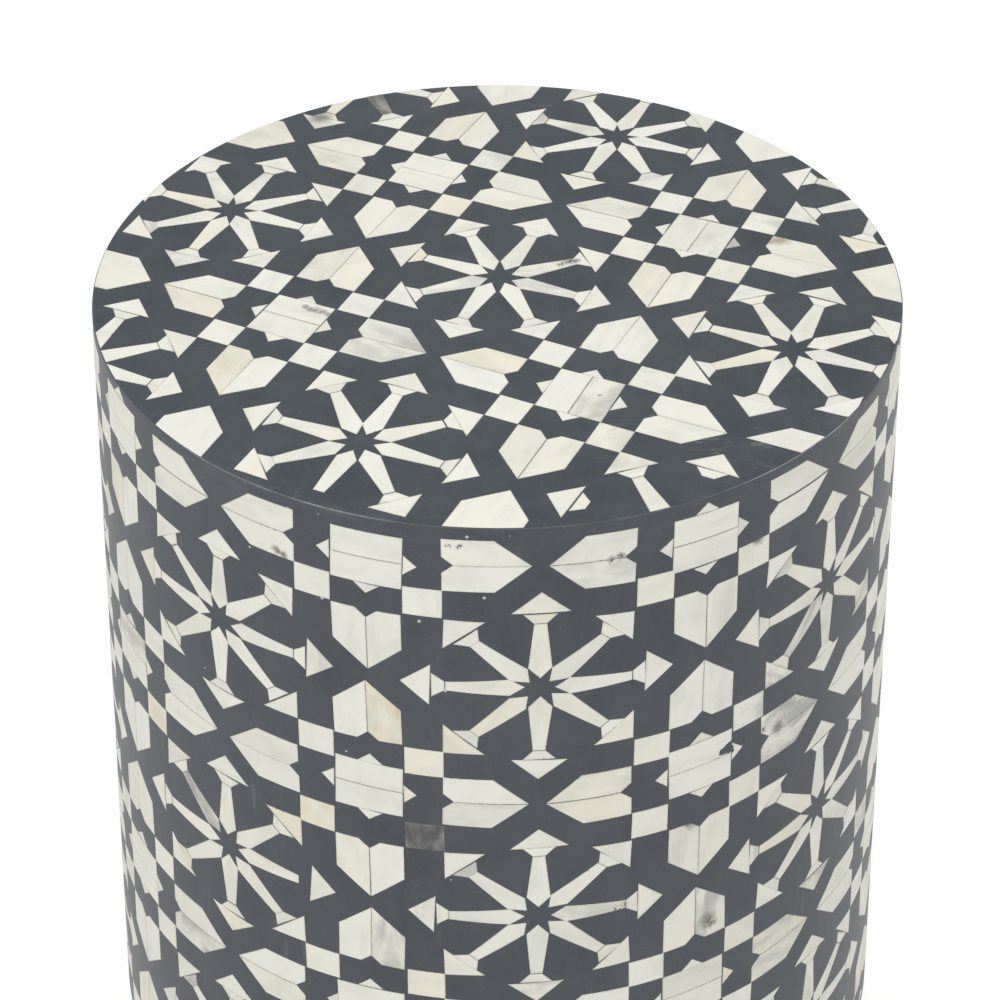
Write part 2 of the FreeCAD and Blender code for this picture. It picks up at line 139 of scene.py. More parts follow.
class Bench:
    def __init__(self, material):
        self.material = material
        material.use_nodes = True
        self.tree = material.node_tree
        self.tree.nodes.clear()

    def node(self, kind, settings, inputs, output=0):
        made = self.tree.nodes.new(kind)
        for name, value in settings.items():
            setattr(made, name, value)
        for name, value in inputs.items():
            if isinstance(value, Wire):
                self.tree.links.new(value.socket, made.inputs[name])
            else:
                made.inputs[name].default_value = value
        return Wire(self, made.outputs[output]) if len(made.outputs) else None

    def maths(self, operation, *values, clamp=False):
        return self.node("ShaderNodeMath", {"operation": operation, "use_clamp": clamp},
                         dict(enumerate(values)))

    def clip(self, value, low, high):
        return self.node("ShaderNodeMapRange", {"clamp": True},
                         {"Value": value, "From Min": low, "From Max": high})

    def mix(self, share, first, second):
        colours = [(*side, 1) if isinstance(side, tuple) else side for side in (first, second)]
        return self.node("ShaderNodeMix", {"data_type": "RGBA"}, {0: share, 6: colours[0], 7: colours[1]}, 2)

    def place(self):
        return self.node("ShaderNodeTexCoord", {}, {}, 3)

    def radiusAndHeight(self, where):
        x, y, z = [self.node("ShaderNodeSeparateXYZ", {}, {0: where}, axis) for axis in range(3)]
        return self.maths("SQRT", x * x + y * y), z

    def seenDirectly(self):
        camera, glossy, through = [self.node("ShaderNodeLightPath", {}, {}, ray) for ray in (
            "Is Camera Ray", "Is Glossy Ray", "Is Transmission Ray")]
        return self.maths("ADD", camera + glossy, through, clamp=True)

    def stretch(self, where, scale):
        return self.node("ShaderNodeVectorMath", {"operation": "MULTIPLY"}, {0: where, 1: scale})

    def strokes(self, where, turn, scale):
        return self.node("ShaderNodeMapping", {}, {
            "Vector": where, "Rotation": (0, 0, math.radians(turn)), "Scale": scale})

    def clouds(self, where, scale, detail=3.0, rough=0.55, twist=0.0):
        return self.node("ShaderNodeTexNoise", {}, {
            "Vector": where, "Scale": scale, "Detail": detail, "Roughness": rough, "Distortion": twist})

    def warp(self, where, scale, reach):
        push = self.node("ShaderNodeTexNoise", {}, {"Vector": where, "Scale": scale, "Detail": 3.0}, 1)
        push = self.node("ShaderNodeVectorMath", {"operation": "MULTIPLY_ADD"}, {
            0: push, 1: (reach, reach, reach), 2: [-reach / 2] * 3})
        return self.node("ShaderNodeVectorMath", {}, {0: where, 1: push})

    def spots(self, where, places, core=0.3):
        whole = None
        for place, reach in places:
            gap = self.node("ShaderNodeVectorMath", {"operation": "DISTANCE"}, {0: where, 1: place}, 1)
            near = 1 - self.clip(gap, reach * core, reach)
            whole = near if whole is None else self.maths("MAXIMUM", whole, near)
        return whole

    def bump(self, height, strength, distance):
        return self.node("ShaderNodeBump", {}, {"Height": height, "Strength": strength, "Distance": distance})

    def coat(self, **inputs):
        named = {name.replace("_", " "): value for name, value in inputs.items()}
        return self.node("ShaderNodeBsdfPrincipled", {}, named)

    def finish(self, shader=None, **inputs):
        self.node("ShaderNodeOutputMaterial", {}, {"Surface": shader or self.coat(**inputs)})
        return self.material


marks = {                   # places of single marks, each with its reach
    "smudges": [
        ((-0.0951, -0.0140, 0.440), 0.0026), ((-0.0925, -0.0158, 0.440), 0.0034),
        ((-0.0900, -0.0167, 0.440), 0.0036), ((-0.0875, -0.0185, 0.440), 0.0034),
        ((-0.0849, -0.0203, 0.440), 0.0028), ((-0.0941, 0.1693, 0.440), 0.0085),
        ((0.0355, 0.0274, 0.440), 0.0034), ((0.0405, 0.0298, 0.440), 0.0030),
        ((-0.1045, -0.1740, 0.4060), 0.0026), ((-0.1020, -0.1755, 0.4056), 0.0020),
        ((0.1255, -0.1595, 0.4030), 0.0050), ((0.1390, -0.1479, 0.2790), 0.0050),
        ((0.0965, -0.1786, 0.2430), 0.0050), ((0.1065, -0.1728, 0.1755), 0.0062)],
    "pitted": [
        ((-0.0905, -0.0160, 0.440), 0.0012), ((0.0500, -0.0922, 0.440), 0.0012),
        ((0.0380, 0.0285, 0.440), 0.0030), ((0.0320, 0.0250, 0.440), 0.0024),
        ((-0.0185, -0.2026, 0.4290), 0.0022), ((-0.0235, -0.2016, 0.4293), 0.0018),
        ((0.0545, -0.1955, 0.4168), 0.0026), ((0.0590, -0.1942, 0.4178), 0.0030),
        ((0.0635, -0.1928, 0.4180), 0.0022), ((0.1246, -0.1602, 0.4035), 0.0034),
        ((0.1310, -0.1551, 0.2830), 0.0028), ((0.1305, -0.1555, 0.2720), 0.0026),
        ((0.1440, -0.1431, 0.2960), 0.0022), ((0.0955, -0.1791, 0.2440), 0.0030),
        ((0.1075, -0.1722, 0.1730), 0.0055), ((0.0595, -0.1941, 0.2005), 0.0030),
        ((0.0640, -0.1926, 0.2020), 0.0026), ((0.0560, -0.1951, 0.1985), 0.0018)],
    "stains": [
        ((0.1433, 0.0484, 0.440), 0.0070), ((0.1390, 0.0474, 0.440), 0.0052),
        ((-0.1055, -0.1734, 0.4066), 0.0036), ((-0.1015, -0.1758, 0.4056), 0.0034),
        ((0.0870, 0.0230, 0.440), 0.0030)],
    "scuffs": [
        ((0.0850, -0.0830, 0.440), 0.014), ((0.0780, -0.1130, 0.440), 0.013),
        ((0.1010, -0.1330, 0.440), 0.020), ((0.1250, -0.1280, 0.440), 0.012)],
    # where the rim's pale line, wear and painted highlight together, is strongest
    "wornGlintRim": [
        ((-0.1250, -0.1590, 0.440), 0.045), ((-0.0870, -0.1830, 0.440), 0.040),
        ((0.1300, -0.1560, 0.440), 0.034), ((0.1600, -0.1250, 0.440), 0.040)],
}


# the top and the side are copies of the one resin, their colours and gloss set apart to suit how light falls
# on each face: painted light and shade
resinLook = {
    "side": (0.053, 0.062, 0.073), "sidePale": (0.077, 0.087, 0.098),
    "top": (0.054, 0.065, 0.077), "topPale": (0.080, 0.092, 0.104),
    # pale colour of scratches, scuffs and grit, also used for the painted highlight along the rim
    "paleWearAndGlint": (0.36, 0.37, 0.38),
    "topFrom": (0.0008, 0.0001),        # below the top face, where the side's copy of the resin gives way to the top's
    "wornGlintLine": (0.00066, 0.00056),     # short of the rim's corner, out and up taken together
    "smearBand": (0.026, 0.002),
    "scratchTurn": -38, "scuffTurn": -58,
    "sideGloss": 0.40, "topGloss": 0.10,
}


def makeResin():
    look, paleWearAndGlint = resinLook, resinLook["paleWearAndGlint"]
    bench = Bench(bpy.data.materials.new("dark_resin_filled"))
    where = bench.place()
    cloud = bench.clouds(where, 13, 6, 0.66)
    brushed = bench.clouds(bench.stretch(where, (55, 55, 22)), 1.0, 4, 0.6, 0.6)
    speck = bench.clouds(where, 520, 2)
    radius, up = bench.radiusAndHeight(where)
    rimSum = drum["radius"] + drum["height"]
    upward = bench.clip(up, *[drum["height"] - gap for gap in look["topFrom"]])
    paler = bench.clip(cloud * 0.6 + brushed * 0.4, 0.36, 0.64)
    side = bench.mix(paler, look["side"], look["sidePale"])
    top = bench.mix(paler, look["top"], look["topPale"])
    colour = bench.mix(upward, side, top)
    colour = bench.mix(bench.clip(speck, 0.62, 0.80) * 0.10, colour, paleWearAndGlint)
    # a pale line round the rounded rim: partly wear, partly a painted highlight on the rim's edge
    edge = bench.clip(radius + up, *[rimSum - gap for gap in look["wornGlintLine"]])
    wornGlint = bench.clip(bench.clouds(where, 60, 5, 0.65), 0.40, 0.62)
    wornGlintMost = bench.spots(bench.warp(where, 25, 0.03), marks["wornGlintRim"])
    colour = bench.mix(edge * (wornGlint * 0.6 + 0.4) * (wornGlintMost * 0.60 + 0.22), colour, paleWearAndGlint)
    nearRim = bench.clip(radius + up, *[rimSum - gap for gap in look["smearBand"]])
    smears = bench.clip(bench.clouds(bench.stretch(where, (38, 38, 150)), 1.0, 5, 0.7, 0.8), 0.48, 0.74)
    colour = bench.mix(nearRim * smears * (wornGlintMost * 0.08 + 0.08), colour, paleWearAndGlint)
    scratched = bench.strokes(where, look["scratchTurn"], (22, 420, 22))
    scratch = bench.clip(bench.clouds(scratched, 1.0, 2, 0.5), 0.66, 0.72)
    patch = bench.clip(bench.clouds(where, 10, 2), 0.52, 0.64)
    scuffed = bench.spots(bench.warp(where, 60, 0.012), marks["scuffs"])
    brushy = bench.strokes(where, look["scuffTurn"], (90, 520, 90))
    scuff = bench.clip(bench.clouds(brushy, 1.0, 4, 0.7), 0.54, 0.70)
    colour = bench.mix(scratch * patch * 0.14 + scuffed * scuff * 0.38, colour, paleWearAndGlint)
    grind = bench.clouds(where, 900, 2)
    rough = bench.clip(cloud, 0.2, 0.9) * 0.16 + 0.42
    uneven = bench.bump(cloud * 0.6 + grind * 0.12 - scratch * patch * 0.4, 0.12, 0.002)
    # the side's and the top's coats differ in gloss only to suit the light on each face: painted light and
    # shade
    coats = [bench.coat(Base_Color=colour, Roughness=rough, Normal=uneven, Specular_IOR_Level=gloss,
                        Sheen_Weight=0.07, Sheen_Roughness=0.35)
             for gloss in (look["sideGloss"], look["topGloss"])]
    return bench.finish(bench.node("ShaderNodeMixShader", {}, {0: upward, 1: coats[0], 2: coats[1]}))


def makeBone():
    ivory, cream, tan = (0.875, 0.875, 0.795), (0.880, 0.822, 0.640), (0.730, 0.620, 0.430)
    smoke, slate, dark = (0.57, 0.57, 0.51), (0.43, 0.435, 0.415), (0.085, 0.085, 0.085)
    pink, pit, stain = (0.82, 0.70, 0.58), (0.10, 0.065, 0.04), (0.25, 0.16, 0.10)
    ink, chalk = (0.012, 0.012, 0.012), (0.60, 0.60, 0.50)
    grime, deepest = (0.42, 0.38, 0.30), (0.06, 0.05, 0.04)
    toneSource = {"attribute_type": "GEOMETRY", "attribute_name": "tone"}
    bench = Bench(bpy.data.materials.new("bone_polished"))
    where = bench.place()
    grain = bench.node("ShaderNodeUVMap", {"uv_map": "grain"}, {})
    tone = bench.node("ShaderNodeAttribute", toneSource, {})
    warm, smoky, shade = [bench.node("ShaderNodeSeparateColor", {}, {0: tone}, part) for part in range(3)]
    border = bench.node("ShaderNodeAttribute", toneSource, {}, 3)
    bands = bench.clouds(bench.stretch(grain, (0.30, 0.85, 1.0)), 1.0, 4, 0.58, 0.5)
    fibres = bench.clouds(bench.stretch(grain, (0.8, 9.0, 1.0)), 1.0, 3, 0.6)
    blotch = bench.clouds(grain, 0.62, 5, 0.6, 0.3)
    pores = bench.clip(bench.clouds(bench.stretch(grain, (9.0, 15.0, 1.0)), 1.0, 2, 0.7), 0.56, 0.68)
    soft = bench.clip(blotch, 0.30, 0.70)
    colour = bench.mix(bench.clip(warm, 0.0, 0.5) * (soft * 0.6 + 0.4), ivory, cream)
    colour = bench.mix(bench.clip(warm, 0.5, 1.0) * bench.clip(blotch, 0.36, 0.64), colour, tan)
    streaked = bench.clip(fibres * 0.5 + blotch * 0.5, 0.55, 0.66)
    colour = bench.mix(bench.clip(warm, 0.7, 1.0) * streaked, colour, stain)
    colour = bench.mix(bench.clip(blotch, 0.60, 0.82) * 0.14, colour, pink)
    colour = bench.mix(bench.clip(bands, 0.50, 0.78) * 0.34, colour, smoke)
    colour = bench.mix(bench.clip(fibres, 0.56, 0.80) * 0.07, colour, smoke)
    cloudy = bench.clip(bands * 0.7 + blotch * 0.3, 0.40, 0.60)
    colour = bench.mix(bench.clip(smoky, 0.0, 0.6) * cloudy * 0.8, colour, smoke)
    colour = bench.mix(bench.clip(smoky, 0.3, 0.9) * bench.clip(cloudy, 0.35, 1.0), colour, slate)
    speckled = pores * bench.clip(smoky, 0.5, 0.8) * bench.clip(blotch, 0.46, 0.60)
    colour = bench.mix(speckled * 0.75, colour, dark)
    colour = bench.mix(bench.clip(smoky, 0.85, 1.0) * (cloudy * 0.25 + 0.75), colour, dark)
    warped = bench.warp(where, 130, 0.006)
    smudges = bench.spots(warped, marks["smudges"])
    colour = bench.mix(smudges * (soft * 0.3 + 0.48), colour, dark)
    pitted = bench.spots(warped, marks["pitted"]) * bench.clip(bench.clouds(where, 760, 3, 0.7), 0.44, 0.52)
    colour = bench.mix(pitted, colour, ink)
    colour = bench.mix(bench.spots(warped, marks["stains"]) * (soft * 0.5 + 0.4), colour, stain)
    margin = bench.clip(bench.clouds(where, 62, 4, 0.6, 0.4), 0.52, 0.72)
    colour = bench.mix(margin * (bench.clip(smoky, 0.0, 0.3) * 0.20 + 0.14), colour, chalk)
    rubbedIn = bench.clip(bench.clouds(grain, 1.7, 4, 0.6), 0.36, 0.66)
    colour = bench.mix(border * (rubbedIn * 0.34 + 0.06), colour, grime)
    nicks = border * bench.clip(bench.clouds(grain, 4.6, 2, 0.6), 0.63, 0.72)
    pits = bench.maths("MAXIMUM", nicks, bench.clip(bench.clouds(grain, 3.1, 2, 0.7), 0.775, 0.80))
    colour = bench.mix(pits * 0.85, colour, pit)
    colour = bench.mix(shade, deepest, colour)
    return bench.finish(
        Base_Color=colour,
        Roughness=bench.clip(bands, 0.2, 0.8) * 0.16 + 0.38,
        Specular_IOR_Level=0.40,
        Normal=bench.bump(fibres * 0.3 + bands * 0.2 - pits * 0.6 - smudges * 0.3, 0.10, 0.0008))


def makeFiller():
    bench = Bench(bpy.data.materials.new("filler_pale"))
    grit = bench.clouds(bench.place(), 1500, 2)
    colour = bench.mix(grit, (0.42, 0.43, 0.42), (0.62, 0.62, 0.60))
    return bench.finish(Base_Color=colour, Roughness=grit * 0.2 + 0.5)


def makeWood(name, pale, dark, ringScale, rough):
    bench = Bench(bpy.data.materials.new(name))
    where = bench.place()
    drift = bench.clouds(where, 6, 3)
    rings = bench.node("ShaderNodeTexWave", {"wave_type": "BANDS", "bands_direction": "Y"}, {
        "Vector": bench.stretch(where, (0.12, 1, 1)), "Scale": ringScale, "Distortion": 7.0, "Detail": 4.0,
        "Detail Scale": 0.6})
    pores = bench.clouds(bench.stretch(where, (12, 260, 60)), 3, 2)
    colour = bench.mix(bench.clip(rings, 0.1, 0.9) * 0.4 + drift * 0.3, pale, dark)
    colour = bench.mix(bench.clip(pores, 0.60, 0.75) * 0.35, colour, dark)
    return bench.finish(Base_Color=colour, Roughness=pores * 0.2 + rough,
                        Normal=bench.bump(pores, 0.15, 0.0006))


def makePly():
    face, glue, layerPair = (0.56, 0.41, 0.25), (0.20, 0.12, 0.07), 0.0015
    bench = Bench(bpy.data.materials.new("shell_ply_layers"))
    where = bench.place()
    radius = bench.radiusAndHeight(where)[0]
    layer = bench.maths("SINE", radius * (2 * math.pi / layerPair)) * 0.5 + 0.5
    fibre = bench.clouds(bench.stretch(where, (40, 40, 400)), 2, 3)
    colour = bench.mix(bench.clip(layer, 0.55, 0.9) * 0.6 + bench.clip(fibre, 0.4, 0.8) * 0.3, face, glue)
    return bench.finish(Base_Color=colour, Roughness=fibre * 0.2 + 0.55,
                        Normal=bench.bump(fibre, 0.2, 0.0005))


def makeRubber():
    bench = Bench(bpy.data.materials.new("foot_rubber_moulded"))
    grit = bench.clouds(bench.place(), 600, 2)
    colour = bench.mix(grit, (0.018, 0.018, 0.019), (0.042, 0.042, 0.044))
    return bench.finish(Base_Color=colour, Roughness=grit * 0.2 + 0.6, Normal=bench.bump(grit, 0.25, 0.0004))


def makeSteel():
    bench = Bench(bpy.data.materials.new("nail_steel_bright"))
    where = bench.place()
    brushed = bench.clouds(bench.stretch(where, (1, 1, 9)), 300, 3)
    colour = bench.mix(brushed, (0.50, 0.49, 0.47), (0.66, 0.65, 0.62))
    return bench.finish(Base_Color=colour, Metallic=1.0, Roughness=brushed * 0.25 + 0.25,
                        Normal=bench.bump(brushed, 0.1, 0.0002))


finishes = {
    "dark_resin": makeResin(),
    "bone": makeBone(),
    "board_wood": makeWood("base_board_face", (0.46, 0.33, 0.20), (0.30, 0.19, 0.10),
                           ringScale=9.0, rough=0.5),
    "shell_ply": makePly(),
    "rib_wood": makeWood("rib_wood_sawn", (0.58, 0.44, 0.27), (0.42, 0.28, 0.15),
                         ringScale=22.0, rough=0.55),
    "foot_rubber": makeRubber(),
    "nail_steel": makeSteel(),
}
nodeSlots = {name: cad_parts[name].data.materials[0].name.split(".")[0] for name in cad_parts}
for name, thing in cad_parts.items():
    for spot in range(len(thing.data.materials)):
        thing.data.materials[spot] = finishes[nodeSlots[name]]
print("finishes made:", sorted(set(nodeSlots.values())))


def handOver(piece, slot, *nodes):
    piece.data.materials.clear()
    piece.data.materials.append(finishes[slot])
    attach(piece, "root")
    if nodes:
        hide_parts(*nodes)
    return piece


# Resin skins, each one profile spun round the drum

def spinProfile(name, profile, closed):
    deselectAll()
    bpy.ops.mesh.primitive_circle_add(vertices=len(profile))
    skin = bpy.context.object
    skin.name = skin.data.name = name
    for vertex, (out, up) in zip(skin.data.vertices, profile):
        vertex.co = (out, 0, up)
    bpy.ops.object.mode_set(mode="EDIT")
    if not closed:
        bpy.ops.mesh.select_all(action="DESELECT")
        bpy.ops.object.mode_set(mode="OBJECT")
        last = len(profile) - 1
        for line in skin.data.edges:
            line.select = set(line.vertices) == {0, last}
        bpy.ops.object.mode_set(mode="EDIT")
        bpy.ops.mesh.delete(type="EDGE_FACE")
    bpy.ops.mesh.select_all(action="SELECT")
    bpy.ops.mesh.spin(steps=drum["facets"], angle=2 * math.pi, center=(0, 0, 0), axis=(0, 0, 1))
    bpy.ops.mesh.select_all(action="SELECT")
    bpy.ops.mesh.remove_doubles(threshold=drum["weld"])
    bpy.ops.mesh.normals_make_consistent(inside=False)
    bpy.ops.object.mode_set(mode="OBJECT")
    bpy.ops.object.shade_smooth_by_angle(angle=math.radians(drum["smoothUnder"]))
    return skin


def quarterRound(out, up, radius, start, steps=5):
    turns = [math.radians(start + 90 * step / steps) for step in range(steps + 1)]
    return [(out + radius * math.cos(turn), up + radius * math.sin(turn)) for turn in turns]


halfway = drum["radius"] / 2
rim = quarterRound(drum["radius"] - drum["rimRound"], drum["height"] - drum["rimRound"], drum["rimRound"], 0)
topSkin = spinProfile("top_skin", [
    (0.0, drum["topUnder"]), (halfway, drum["topUnder"]), (drum["radius"], drum["topUnder"]),
    *rim, (halfway, drum["height"]), (0.0, drum["height"])], closed=False)
handOver(topSkin, "dark_resin", "top_resin")

footEdge = quarterRound(drum["radius"] - drum["footRound"], drum["sleeveFoot"] + drum["footRound"],
                        drum["footRound"], -90)
wall = [(drum["radius"], drum["sleeveFoot"] + (drum["topUnder"] - drum["sleeveFoot"]) * share)
        for share in (0.25, 0.5, 0.75, 1.0)]
sideSkin = spinProfile("side_skin", [
    (drum["sleeveInside"], drum["topUnder"]), (drum["sleeveInside"], drum["sleeveFoot"]),
    *footEdge, *wall], closed=True)
handOver(sideSkin, "dark_resin", "side_resin")
print("skins spun:", len(topSkin.data.polygons), len(sideSkin.data.polygons))


# Bones: each kind is cut once as a blank, and laid many times

def spun(x, y, turn):
    return x * math.cos(turn) - y * math.sin(turn), x * math.sin(turn) + y * math.cos(turn)


def turned(points, degrees):
    return [spun(x, y, math.radians(degrees)) for x, y in points]


def boneKinds():
    m = motif
    shoulder = m["rayShoulder"] * math.tan(math.pi / 8)
    headHalf = m["headTip"] - m["collarEnd"]
    leafFoot = 0.5 - m["headTip"] * math.sin(math.pi / 4)
    leafTip = 0.5 - m["leafGap"]
    square, point, notch = m["squareHalf"], m["starPoint"], m["leafNotch"]
    ray = [(m["rayStart"], 0), (m["rayShoulder"], -shoulder), (m["rayEnd"], -m["rayEndHalf"]),
           (m["rayEnd"], m["rayEndHalf"]), (m["rayShoulder"], shoulder)]
    collar = [(m["rayEnd"], -m["rayEndHalf"]), (m["collarEnd"], -m["collarHalf"]),
              (m["collarEnd"], m["collarHalf"]), (m["rayEnd"], m["rayEndHalf"])]
    head = [(m["collarEnd"], -headHalf), (m["headTip"], 0), (m["collarEnd"], headHalf)]
    half = [(-square, 0), (square, 0), (square, square), (-square, square)]
    star = [(square, -point), (square + point, 0), (square, point)]
    small = [(square, square), (leafFoot, square), (leafFoot, leafFoot), (square, leafFoot)]
    leaf = [(leafFoot + notch, 0), (leafTip, 0), (leafTip - square, square), (leafFoot, square),
            (leafFoot, notch)]
    leafBack = [(x, -y) for x, y in reversed(leaf)]
    eight, four = range(0, 360, 45), range(0, 360, 90)
    rimLeaf = [(leafFoot, -square), (leafTip - square, -square), (leafTip, 0),
               (leafTip - square, square), (leafFoot, square)]
    return {   # outline, turns, what it is centred on, its grain, how proud it stands, its own play
        "rays": (ray, eight, "star", 0, 0.00009, 0.4),
        "collars": (collar, eight, "star", 90, 0.00008, 1.0),
        "arrowheads": (head, eight, "star", 90, 0.00013, 3.2),
        "half_squares": (half, four, "square", 0, 0.00012, 0.2),
        "star_points": (star, four, "square", 90, 0.00008, 3.0),
        "small_squares": (small, four, "square", 0, 0.00010, 0.8),
        "left_leaves": (leaf, four, "square", 0, 0.00011, 0.2),
        "right_leaves": (leafBack, four, "square", 0, 0.00011, 0.2),
        "rim_bones": (rimLeaf, four, "square", 0, 0.00011, 0.2),
    }


def inset(outline, gap):
    count = len(outline)
    lines = []
    for spot in range(count):
        start, end = Vector(outline[spot]), Vector(outline[(spot + 1) % count])
        along = (end - start).normalized()
        lines.append((start + Vector((-along.y, along.x)) * gap, along))
    corners = []
    for spot in range(count):
        (first, along), (second, away) = lines[spot - 1], lines[spot]
        cross = along.x * away.y - along.y * away.x
        reach = ((second - first).x * away.y - (second - first).y * away.x) / cross
        corners.append(tuple(first + along * reach))
    return corners


def edgeDistance(corner, outline):
    spot = Vector(corner[:2])
    gaps = []
    for start, end in zip(outline, outline[1:] + outline[:1]):
        along = (Vector(end) - Vector(start)).normalized()
        gaps.append(abs(along.cross(spot - Vector(start))))
    return min(gaps)


def cutBlank(name, outline, grain, bent):
    outline = inset(outline, boneCut["hairline"])
    deselectAll()
    bpy.ops.mesh.primitive_circle_add(vertices=len(outline), fill_type="NGON")
    blank = bpy.context.object
    blank.name = blank.data.name = name
    for vertex, (x, y) in zip(blank.data.vertices, outline):
        vertex.co = (x, y, -boneCut["depth"])
    bpy.ops.object.mode_set(mode="EDIT")
    bpy.ops.mesh.select_all(action="SELECT")
    bpy.ops.mesh.extrude_region_move(
        TRANSFORM_OT_translate={"value": (0, 0, boneCut["depth"] - boneCut["arris"])})
    bpy.ops.mesh.inset(thickness=boneCut["arris"], depth=boneCut["arris"])
    bpy.ops.mesh.inset(thickness=boneCut["edgeBand"])
    bpy.ops.mesh.select_all(action="SELECT")
    bpy.ops.mesh.normals_make_consistent(inside=False)
    if bent:
        low, high = min(x for x, y in outline), max(x for x, y in outline)
        cuts = math.ceil((high - low) / boneCut["bendStep"])
        for cut in range(1, cuts):
            bpy.ops.mesh.select_all(action="SELECT")
            bpy.ops.mesh.bisect(plane_co=(low + (high - low) * cut / cuts, 0, 0), plane_no=(1, 0, 0))
    bpy.ops.object.mode_set(mode="OBJECT")
    middle = np.mean(outline, 0)
    drawn = blank.data.uv_layers.active or blank.data.uv_layers.new()
    drawn.name = "grain"
    for loop in blank.data.loops:
        x, y = (blank.data.vertices[loop.vertex_index].co.xy - Vector(middle)) * boneCut["grainUnit"]
        drawn.data[loop.index].uv = spun(x, y, math.radians(-grain))
    blank.data.attributes.new("tone", "FLOAT_COLOR", "CORNER")
    corners = np.array([v.co for v in blank.data.vertices])
    depths = [edgeDistance(corner, outline) for corner in corners]
    inner = boneCut["arris"] + boneCut["edgeBand"] * boneCut["borderShare"]
    border = np.array([0.0 if depth > inner else 1.0 for depth in depths])
    border = border[[loop.vertex_index for loop in blank.data.loops]]
    return {"mesh": blank, "middle": middle, "corners": corners, "border": border}


def onTop(flat):
    pitch = topRows["pitch"]
    along, across = flat[:, 0] / pitch, flat[:, 1] / pitch
    fan = 1 + topRows["fanAlong"] * along + topRows["fanAcross"] * across
    x, y = spun(along, across, math.radians(topRows["turn"]))
    x, y = (pitch * x + topRows["shiftX"]) / fan, (pitch * y + topRows["shiftY"]) / fan
    return np.stack([x, y, drum["height"] + flat[:, 2]], 1)


def onSide(flat):
    step = drum["radius"] * math.radians(sideRows["stepFront"])
    column = flat[:, 0] / step
    bend, front = np.abs(column), sideRows["frontReach"]
    behind = front * sideRows["stepFront"] + (bend - front) * sideRows["stepBack"]
    angle = np.where(bend <= front, bend * sideRows["stepFront"], behind) * np.sign(column)
    below = sideRows["firstRow"] - flat[:, 1]
    drift = sideRows["sag"] * np.cos(2 * np.radians(angle)) - sideRows["lift"]
    below = below + drift * np.clip(below / sideRows["firstRow"], 0, 1)
    turn = np.radians(angle + sideRows["frontColumn"] - 90)
    out = drum["radius"] + flat[:, 2]
    return np.stack([out * np.cos(turn), out * np.sin(turn), drum["height"] - below], 1)


def toneOf(dice, odd):
    pick = dice.random()
    warm = toneOdds["warm"] * dice.random() ** toneOdds["warmBend"]
    smoky = toneOdds["smoky"] * dice.random()
    if pick > toneOdds["stained"]:
        warm = toneOdds["stainedWarm"] + toneOdds["stainedSpread"] * dice.random()
    elif pick > toneOdds["clouded"]:
        smoky = toneOdds["cloudedSmoky"] + toneOdds["cloudedSpread"] * dice.random()
    elif pick > toneOdds["dark"]:
        smoky = toneOdds["darkSmoky"] + toneOdds["darkSpread"] * dice.random()
    shade = 1.0 - toneOdds["shade"] * dice.random() ** 2
    return odd.get("warm", warm), odd.get("smoky", smoky), odd.get("shade", shade)


def cutWith(bone, operation, tool):
    pickOnly(bone)
    cut = bone.modifiers.new("cut", "BOOLEAN")
    cut.operation, cut.solver, cut.object = operation, "EXACT", tool
    bpy.ops.object.modifier_apply(modifier=cut.name)


def trimAtRim(bone, ring):
    corners = np.array([v.co for v in bone.data.vertices])
    if np.hypot(corners[:, 0], corners[:, 1]).max() < topRows["fieldRadius"]:
        return False
    cutWith(bone, "INTERSECT", ring)
    return True


def layBone(blank, centre, group, dice, onto, odd, proud, play):
    trim = 1 - handLaid["trim"] * dice.random() * (1 + handLaid["looseTrim"] * (play > 1))
    spin = math.radians(play * (2 * dice.random() - 1))
    own = [handLaid["ownShift"] * (1 + handLaid["looseShift"] * play) * (2 * dice.random() - 1)
           for axis in range(2)]
    lift = proud + handLaid["proudSpread"] * dice.random()
    seedPlace = [dice.random() * handLaid["grainJump"] for axis in range(2)]
    tone = toneOf(dice, odd)
    own = [shift + more for shift, more in zip(own, odd.get("shift", (0, 0)))]
    flat = blank["corners"].copy()
    middle, pivot = blank["middle"], group["pivot"]
    x, y = spun(*((flat[:, :2] - middle).T * trim), spin)
    x, y = x + middle[0] + own[0] - pivot[0], y + middle[1] + own[1] - pivot[1]
    x, y = x * (1 + group["stretch"][0]) + y * group["shear"], y * (1 + group["stretch"][1])
    taper = 1 + x * group["taper"][0] + y * group["taper"][1]
    x, y = spun(x / taper, y / taper, group["turn"])
    flat[:, 0] = x + pivot[0] + group["shift"][0] + centre[0]
    flat[:, 1] = y + pivot[1] + group["shift"][1] + centre[1]
    flat[:, 2] += lift
    mesh = blank["mesh"].data.copy()
    mesh.vertices.foreach_set("co", onto(flat).ravel())
    count = len(mesh.loops)
    drawn = np.zeros(count * 2)
    mesh.uv_layers["grain"].data.foreach_get("uv", drawn)
    drawn = drawn.reshape(-1, 2) + seedPlace
    mesh.uv_layers["grain"].data.foreach_set("uv", drawn.ravel())
    tones = np.tile([*tone, 0.0], (count, 1))
    tones[:, 2] *= 1 - blank["border"] * boneCut["edgeShade"]
    tones[:, 3] = blank["border"]
    mesh.attributes["tone"].data.foreach_set("color", tones.ravel())
    bone = bpy.data.objects.new("bone", mesh)
    bpy.context.scene.collection.objects.link(bone)
    return bone


def raggedBall(spot, radius, least, spread, dice):
    deselectAll()
    bpy.ops.mesh.primitive_ico_sphere_add(subdivisions=2, radius=radius, location=spot)
    ball = bpy.context.object
    for vertex in ball.data.vertices:
        vertex.co *= least + spread * dice.random()
    return ball


